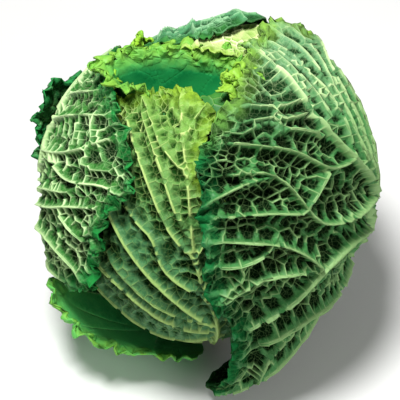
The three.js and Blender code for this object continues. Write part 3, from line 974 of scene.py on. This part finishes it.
        "right": [(32, -96), (46, -50), (46, -8), (26, 20)],
    },
    {
        "name": "lower_left_leaf",
        "node": "lower_left_leaf",
        "slot": "bright_leaf",
        "layer": OUTER_LAYER,
        "polar": 120,
        "azimuth": -45,
        "midrib": [(0, -75), (-4, -50), (-12, -22)],
        "tip": (-17, 1),
        "left": [(-34, -62), (-46, -36), (-42, -11), (-31, 4)],
        "right": [(28, -64), (35, -49), (33, -40), (28, -37), (24, -29), (18, -26), (7, -15)],
        "midrib_strength": 0.35,
        "crinkle": 1.0,
        "left_frill": [0, 1, 2, 2.5, 3],
        "right_frill": [0, 1, 3, 4, 4],
        "lifts": [(-12, -4, 28, 8)],
        "smooth_spots": [(-10, -20, 80, 1)],
        "wall_side": 1,
        "veins": [
            (0.3, [(0, -60), (-20, -30), (-36, 0)]),
            (0.3, [(0, -60), (14, -40), (26, -28)]),
            (0.25, [(-8, -36), (-10, -20), (-6, -8)]),
        ],
        "net": 1.0,
        "pit": 0.12,
        "drape": 1.2,
        "pocket": 0.4,
    },
]


def linear(colour):
    """The linear colour that Blender wants, from an sRGB hex colour."""
    parts = [int(colour[k : k + 2], 16) / 255 for k in (1, 3, 5)]
    return [*(p / 12.92 if p <= 0.04045 else ((p + 0.055) / 1.055) ** 2.4 for p in parts), 1]


def set_inputs(tree, node, inputs):
    """Sets a node's inputs, in order or by name or number, to values or to other nodes' outputs."""
    for socket, value in inputs.items() if isinstance(inputs, dict) else enumerate(inputs):
        if isinstance(value, bpy.types.NodeSocket):
            tree.links.new(value, node.inputs[socket])
        else:
            node.inputs[socket].default_value = value


def add_node(tree, kind, output, inputs=(), **settings):
    """Adds a node with its settings and inputs, and returns one of its outputs."""
    node = tree.nodes.new(kind)
    for name, value in settings.items():
        setattr(node, name, value)
    set_inputs(tree, node, inputs)
    return node.outputs[output]


def lay_colours(tree, colour, layers):
    """Lays colours over one another, each by the share that it covers."""
    # Inputs 6 and 7 of a mix and its output 2 are the ones for colours
    for share, cover in layers:
        inputs = {0: share, 6: colour, 7: cover}
        colour = add_node(tree, "ShaderNodeMix", 2, inputs, data_type="RGBA")
    return colour


def per_metre(size):
    """A pattern's scale: how many of its marks, of a size in millimetres, fit in a metre."""
    return round(1 / (size * MM))


def new_material(name):
    """A new material, with its node tree and its shader."""
    material = bpy.data.materials.new(name)
    material.use_nodes = True
    return material, material.node_tree, material.node_tree.nodes["Principled BSDF"]


# Sizes of the marks on the leaves
BLOOM_PATCH = 18.2
FLECK = 2.63
FINE_CELL = 2.325
TUFT = 5.88


def waxy_leaf(name, low, high, edge, turn=(0.45, 0.8), ripe_edge=None):
    """A savoy leaf: waxy blade with a pale net, painted shade in its pits, and its own colour along the
    ruffled edge.

    low and high give the blade, bloom, pit and vein colours near the stalk and near the tip,
    and turn where on the way there one becomes the other. The pit colour is painted shade, laid on the
    pits and trenches. edge and ripe_edge colour the ruffles.
    """
    material, tree, shader = new_material(name)
    place = add_node(tree, "ShaderNodeTexCoord", "Object")
    marks = {"Vector": place, "Scale": per_metre(BLOOM_PATCH), "Detail": 3, "Roughness": 0.6}
    patches = add_node(tree, "ShaderNodeTexNoise", "Fac", marks)
    marks = {"Vector": place, "Scale": per_metre(FLECK), "Detail": 2, "Roughness": 0.6}
    flecks = add_node(tree, "ShaderNodeTexNoise", "Fac", marks)
    # The colour of the ruffles comes and goes in tufts
    marks = {"Vector": place, "Scale": per_metre(TUFT), "Detail": 2, "Roughness": 0.5}
    tufts = add_node(tree, "ShaderNodeTexNoise", "Fac", marks)
    # The finest net, which the mesh doesn't carry
    marks = {"Vector": place, "Scale": per_metre(FINE_CELL)}
    fine_net = add_node(tree, "ShaderNodeTexVoronoi", "Distance", marks, feature="DISTANCE_TO_EDGE")

    # depth reads the pit attribute, the mask of the painted shade in the pits and trenches
    vein_share, ruffle, calm, reach, depth = (
        add_node(tree, "ShaderNodeAttribute", "Fac", attribute_name=layer)
        for layer in ("vein", "edge", "calm", "reach", "pit")
    )
    # A map range takes the value, the range that it comes from and the one that it goes to
    towards_tip = add_node(tree, "ShaderNodeMapRange", 0, (reach, *turn, 0, 1))
    blade, bloom, pit, vein = (
        lay_colours(tree, linear(below), [(towards_tip, linear(above))])
        for below, above in zip(low, high)
    )
    bloom_patches = add_node(tree, "ShaderNodeMapRange", 0, (patches, 0.35, 0.65, -0.3, 0.4))
    waxy = add_node(
        tree, "ShaderNodeMath", 0, (bloom_patches, calm), operation="ADD", use_clamp=True
    )
    tufted = add_node(tree, "ShaderNodeMapRange", 0, (tufts, 0.38, 0.6, 0.35, 1.1))
    ruffled = add_node(
        tree, "ShaderNodeMath", 0, (ruffle, tufted), operation="MULTIPLY", use_clamp=True
    )
    colour = lay_colours(
        tree,
        blade,
        [
            (waxy, bloom),
            (add_node(tree, "ShaderNodeMapRange", 0, (flecks, 0.45, 0.8, 0, 0.15)), vein),
            # Painted shade: the pits and trenches are darkened towards the pit colour
            (add_node(tree, "ShaderNodeMapRange", 0, (depth, 0.06, 0.6, 0, 0.96)), pit),
            (add_node(tree, "ShaderNodeMapRange", 0, (fine_net, 0, 0.08, 0.14, 0)), vein),
            (add_node(tree, "ShaderNodeMapRange", 0, (vein_share, 0.08, 0.85, 0, 1)), vein),
            (ruffled, lay_colours(tree, linear(edge), [(towards_tip, linear(ripe_edge or edge))])),
        ],
    )
    ridges = add_node(tree, "ShaderNodeMapRange", 0, (fine_net, 0, 0.25, 1, 0))
    lively_share = add_node(tree, "ShaderNodeMapRange", 0, (calm, 0.3, 1, 1, 0.08))
    relief = add_node(tree, "ShaderNodeMath", 0, (ridges, lively_share), operation="MULTIPLY")
    bumps = {"Height": relief, "Strength": 0.6, "Distance": 0.0003}
    shine = {
        "Base Color": colour,
        "Roughness": add_node(tree, "ShaderNodeMapRange", 0, (flecks, 0.3, 0.7, 0.42, 0.6)),
        # The sheen is taken out where the pits and trenches are painted dark, as more painted shade
        "Specular IOR Level": add_node(tree, "ShaderNodeMapRange", 0, (depth, 0.05, 0.5, 0.18, 0)),
        "Normal": add_node(tree, "ShaderNodeBump", "Normal", bumps),
    }
    set_inputs(tree, shader, shine)
    return material


# Blade, bloom, pit and vein colours; in every leaf material the pit colour is painted shade, near black on
# the dark leaves
DARK_LEAF = ("#17491d", "#36743a", "#010902", "#7ea266")

MATERIALS = {
    "crown_leaf": waxy_leaf(
        "emerald_inner_leaf",
        low=("#107c44", "#1c8a48", "#0a6c38", "#2f9450"),
        high=("#3f9c3c", "#6cae3c", "#2a8434", "#98c050"),
        edge="#7aac3e",
        turn=(0.45, 0.9),
    ),
    "left_lobe": waxy_leaf(
        "yellow_lobe",
        low=("#3f9a3c", "#5fae3c", "#2a7f34", "#8fc04a"),
        high=("#5fa836", "#86bc3c", "#3a8a30", "#a8cf50"),
        edge="#8fc034",
    ),
    "front_lobe": waxy_leaf(
        "green_lobe",
        low=("#2f8f3c", "#4fa040", "#1f7434", "#6fb04a"),
        high=("#4fa03a", "#78b43c", "#2f8030", "#98c44a"),
        edge="#8abc38",
    ),
    "right_tuft": waxy_leaf(
        "yellow_tuft",
        low=("#3f9a3c", "#5fae3c", "#2a7f34", "#8fc04a"),
        high=("#5a9c34", "#82b43c", "#2f7a2c", "#a8cc54"),
        edge="#8cb63c",
    ),
    "pale_rim_leaf": waxy_leaf(
        "cream_rim_leaf",
        low=("#9cbc60", "#b8cc80", "#7aa444", "#dfe8b0"),
        high=("#a0bc64", "#bccc84", "#7aa444", "#e2e9b8"),
        edge="#90b448",
    ),
    "front_leaf": waxy_leaf(
        "waxy_pale_leaf",
        low=("#245626", "#3a6e42", "#051e08", "#88a65c"),
        high=("#4c842e", "#709c44", "#123c0e", "#bcd080"),
        edge="#86ac34",
        turn=(0.6, 0.92),
    ),
    "back_leaf": waxy_leaf(
        "waxy_rolled_leaf",
        low=DARK_LEAF,
        high=("#2a6a38", "#4a8a5c", "#0c3418", "#8cbc8c"),
        edge="#3a7c38",
    ),
    # Lighter towards the tip, which lies at the top of the head: partly the leaf's own paler tip and denser
    # pale veins, partly painted light where the lamp from above falls
    "right_leaf": waxy_leaf(
        "waxy_dark_leaf",
        low=DARK_LEAF,
        high=("#3c6c3c", "#568858", "#103014", "#c4dca0"),
        edge="#1a6834",
        ripe_edge="#80ac48",
        turn=(0.72, 0.9),
    ),
    "left_leaf": waxy_leaf(
        "waxy_netted_leaf",
        low=("#185620", "#2a6e2a", "#031606", "#acd08c"),
        high=("#1f5e20", "#307228", "#061c08", "#c0dea0"),
        edge="#23803a",
    ),
    "upper_left_leaf": waxy_leaf(
        "waxy_outer_leaf", low=DARK_LEAF, high=DARK_LEAF, edge="#2f8a48"
    ),
    "rear_right_leaf": waxy_leaf(
        "waxy_rear_leaf", low=DARK_LEAF, high=DARK_LEAF, edge="#2f8a48"
    ),
    "lower_left_leaf": waxy_leaf(
        "bright_inner_face",
        low=("#1c8444", "#38a854", "#146c36", "#78c070"),
        high=("#2c9c4c", "#52b85c", "#1f8040", "#9cd07c"),
        edge="#6ca83e",
    ),
}

for index, leaf in enumerate(LEAVES):
    build_leaf(leaf, 11 + index, MATERIALS[leaf["name"]])


HEART_RADIUS = 75.5
HOLLOW_HALF_WIDTH = 33
HOLLOW_HALF_DEPTH = 17
HOLLOW_FLOOR_HEIGHT = 147
HOLLOW_FLARE = 24
CROWN_RISE = 2.5
HEART_FOLD_DEPTH = 1.6
CREASE_DEPTH = 0.7
NOISE_SHIFT = Vector((3.1, 7.7, 1.3))
STEM_TOP = 21.5
STEM_SIDES = 72
STEM_PROFILE = [(18, 0), (19.5, 1.5), (19.5, 8), (18, 15), (15, STEM_TOP)]
POLE_RADIUS = 0.1


def build_heart(material):
    """The dense head inside: pale folded leaves, with the hollow at the crown."""
    ball = bmesh.new()
    bmesh.ops.create_icosphere(ball, subdivisions=6, radius=1)
    for vert in ball.verts:
        way = vert.co.normalized()
        fold = noise.noise(Vector((way.x * 2.2, way.y * 2.2, way.z * 0.9)) + NOISE_SHIFT)
        crease = noise.noise(way * 9 + NOISE_SHIFT)
        crown_rise = CROWN_RISE * smoothstep(0.75, 0.92, way.z)
        reach = HEART_RADIUS + crown_rise + HEART_FOLD_DEPTH * fold + CREASE_DEPTH * crease
        place = Vector((way.x * reach, way.y * reach, HEAD_CENTRE_HEIGHT + way.z * reach * POLAR_SQUASH))
        across = (place.x - HOLLOW_CENTRE[0]) / HOLLOW_HALF_WIDTH
        deep = (place.y - HOLLOW_CENTRE[1]) / HOLLOW_HALF_DEPTH
        out = math.hypot(across, deep)
        bowl = HOLLOW_FLOOR_HEIGHT + 1.5 * crease + HOLLOW_FLARE * out**4
        if place.z > bowl and way.z > 0:
            place.z = bowl
        vert.co = place * MM
    mesh = bpy.data.meshes.new("heart_skin")
    for face in ball.faces:
        face.smooth = True
    ball.to_mesh(mesh)
    ball.free()
    return finish_piece("heart_skin", mesh, "heart", material)


def build_stem(material):
    """The cut stalk, with a flat cut face under it."""
    stalk = bmesh.new()
    profile = [(POLE_RADIUS, 0), *STEM_PROFILE, (POLE_RADIUS, STEM_TOP)]
    verts = [stalk.verts.new((radius * MM, 0, height * MM)) for radius, height in profile]
    edges = [stalk.edges.new(pair) for pair in zip(verts, verts[1:])]
    bmesh.ops.spin(
        stalk,
        geom=verts + edges,
        cent=(0, 0, 0),
        axis=(0, 0, 1),
        angle=math.tau,
        steps=STEM_SIDES,
        use_merge=True,
    )
    bmesh.ops.remove_doubles(stalk, verts=stalk.verts, dist=POLE_RADIUS / 2 * MM)
    bmesh.ops.recalc_face_normals(stalk, faces=stalk.faces)
    mesh = bpy.data.meshes.new("stem_stalk")
    stalk.to_mesh(mesh)
    stalk.free()
    return finish_piece("stem_stalk", mesh, "stem", material)


def plain_material(name, colour, roughness):
    material, tree, shader = new_material(name)
    set_inputs(tree, shader, {"Base Color": linear(colour), "Roughness": roughness})
    return material


# Sizes of the marks on the heart and the stalk
HEART_FOLD = 27.8
HEART_VEIN_GAP = 6.67
HEART_VEIN_LENGTH = 22.2
FIBRE_WIDTH = 1.111
FIBRE_LENGTH = 11.1
VEIN_END = 2.38


def packed_heart():
    """Packed inner leaves: emerald to yellow-green, with faint long veins and a soft waxy gloss."""
    material, tree, shader = new_material("packed_heart_leaves")
    place = add_node(tree, "ShaderNodeTexCoord", "Object")
    marks = {"Vector": place, "Scale": per_metre(HEART_FOLD), "Detail": 3, "Roughness": 0.55}
    folds = add_node(tree, "ShaderNodeTexNoise", "Fac", marks)
    # The veins are drawn out towards the crown
    across, along = per_metre(HEART_VEIN_GAP), per_metre(HEART_VEIN_LENGTH)
    marks = {"Vector": place, "Scale": (across, across, along)}
    stretched = add_node(tree, "ShaderNodeMapping", "Vector", marks)
    marks = {"Vector": stretched, "Scale": 1}
    veins = add_node(tree, "ShaderNodeTexVoronoi", "Distance", marks, feature="DISTANCE_TO_EDGE")
    ripe = add_node(tree, "ShaderNodeMapRange", 0, (folds, 0.4, 0.62, 0, 1))
    vein_share = add_node(tree, "ShaderNodeMapRange", 0, (veins, 0, 0.05, 0.4, 0))
    layers = [(ripe, linear("#3c7c2c")), (vein_share, linear("#8cb85c"))]
    ridge = add_node(tree, "ShaderNodeMapRange", 0, (veins, 0, 0.12, 1, 0))
    bumps = {"Height": ridge, "Strength": 0.5, "Distance": 0.0006}
    shine = {
        "Base Color": lay_colours(tree, linear("#145c28"), layers),
        "Roughness": add_node(tree, "ShaderNodeMapRange", 0, (folds, 0.3, 0.7, 0.4, 0.55)),
        "Specular IOR Level": 0.3,
        "Normal": add_node(tree, "ShaderNodeBump", "Normal", bumps),
    }
    set_inputs(tree, shader, shine)
    return material


def cut_stalk():
    """The stalk: pale fibrous flesh, a ring of vein ends on the cut face, and a browned rim."""
    material, tree, shader = new_material("cut_stalk_flesh")
    place = add_node(tree, "ShaderNodeTexCoord", "Object")
    flat_place = add_node(
        tree, "ShaderNodeVectorMath", "Vector", (place, (1, 1, 0)), operation="MULTIPLY"
    )
    radius = add_node(tree, "ShaderNodeVectorMath", "Value", (flat_place,), operation="LENGTH")
    # The fibres run up the stalk
    across, along = per_metre(FIBRE_WIDTH), per_metre(FIBRE_LENGTH)
    marks = {"Vector": place, "Scale": (across, across, along)}
    fibre_place = add_node(tree, "ShaderNodeMapping", "Vector", marks)
    marks = {"Vector": fibre_place, "Scale": 1, "Detail": 3}
    fibres = add_node(tree, "ShaderNodeTexNoise", "Fac", marks)
    # The vein ends stand in a ring 13 to 16 mm from the middle
    marks = {"Vector": flat_place, "Scale": per_metre(VEIN_END)}
    ends = add_node(tree, "ShaderNodeTexVoronoi", "Distance", marks)
    ring_inside = add_node(tree, "ShaderNodeMapRange", 0, (radius, 0.0125, 0.0135, 0, 1))
    ring_outside = add_node(tree, "ShaderNodeMapRange", 0, (radius, 0.0155, 0.0165, 1, 0))
    ring = add_node(tree, "ShaderNodeMath", 0, (ring_inside, ring_outside), operation="MULTIPLY")
    dots = add_node(tree, "ShaderNodeMapRange", 0, (ends, 0.15, 0.4, 1, 0))
    spots = add_node(tree, "ShaderNodeMath", 0, (ring, dots), operation="MULTIPLY")
    layers = [
        (add_node(tree, "ShaderNodeMapRange", 0, (fibres, 0.35, 0.65, 0, 1)), linear("#e6e8c8")),
        (add_node(tree, "ShaderNodeMapRange", 0, (spots, 0, 1, 0, 0.7)), linear("#9aa565")),
        (add_node(tree, "ShaderNodeMapRange", 0, (radius, 0.0165, 0.0195, 0, 0.6)), linear("#b5b27a")),
    ]
    bumps = {"Height": fibres, "Strength": 0.4, "Distance": 0.0005}
    shine = {
        "Base Color": lay_colours(tree, linear("#d2d9a8"), layers),
        "Roughness": add_node(tree, "ShaderNodeMapRange", 0, (fibres, 0.3, 0.7, 0.45, 0.65)),
        "Specular IOR Level": 0.35,
        "Normal": add_node(tree, "ShaderNodeBump", "Normal", bumps),
    }
    set_inputs(tree, shader, shine)
    return material


build_heart(packed_heart())
build_stem(cut_stalk())

# Floor, light and camera
CAMERA_ELEVATION = 43
CAMERA_DISTANCE = 1100
LENS = 181
AIM_RIGHT = -4.4
AIM_UP = -9.3
FLOOR_HALF = 3
WORLD_STRENGTH = 0.17


def build_stage():
    floor_mesh = bpy.data.meshes.new("studio_floor")
    sheet = bmesh.new()
    bmesh.ops.create_grid(sheet, x_segments=1, y_segments=1, size=FLOOR_HALF)
    sheet.to_mesh(floor_mesh)
    sheet.free()
    floor = bpy.data.objects.new("studio_floor", floor_mesh)
    bpy.context.collection.objects.link(floor)
    floor_mesh.materials.append(plain_material("pale_studio_floor", "#dededc", 0.7))


def add_light(name, place, size, energy):
    data = bpy.data.lights.new(name, "AREA")
    data.shape = "DISK"
    data.size = size
    data.energy = energy
    lamp = bpy.data.objects.new(name, data)
    lamp.location = place
    target = Vector((0, 0, HEAD_CENTRE_HEIGHT * MM))
    lamp.rotation_euler = (target - lamp.location).to_track_quat("-Z", "Y").to_euler()
    bpy.context.collection.objects.link(lamp)


def build_camera():
    lift = math.radians(CAMERA_ELEVATION)
    back = Vector((0, -math.cos(lift), math.sin(lift)))
    up = Vector((0, math.sin(lift), math.cos(lift)))
    centre = Vector((0, 0, HEAD_CENTRE_HEIGHT))
    aim = centre + Vector((1, 0, 0)) * AIM_RIGHT + up * AIM_UP
    data = bpy.data.cameras.new("camera")
    data.lens = LENS
    camera = bpy.data.objects.new("camera", data)
    camera.location = (aim + back * CAMERA_DISTANCE) * MM
    camera.rotation_euler = (-back).to_track_quat("-Z", "Y").to_euler()
    bpy.context.collection.objects.link(camera)
    bpy.context.scene.camera = camera


def build_light():
    world = bpy.data.worlds.new("studio")
    world.use_nodes = True
    background = world.node_tree.nodes["Background"]
    background.inputs["Color"].default_value = linear("#ffffff")
    background.inputs["Strength"].default_value = WORLD_STRENGTH
    bpy.context.scene.world = world
    bpy.context.scene.view_settings.view_transform = "Standard"
    add_light("key_light", place=(-0.2, -0.2, 1.27), size=0.4, energy=24.5)
    add_light("front_light", place=(0.9, -1.1, 0.6), size=0.9, energy=10)


build_stage()
build_camera()
build_light()
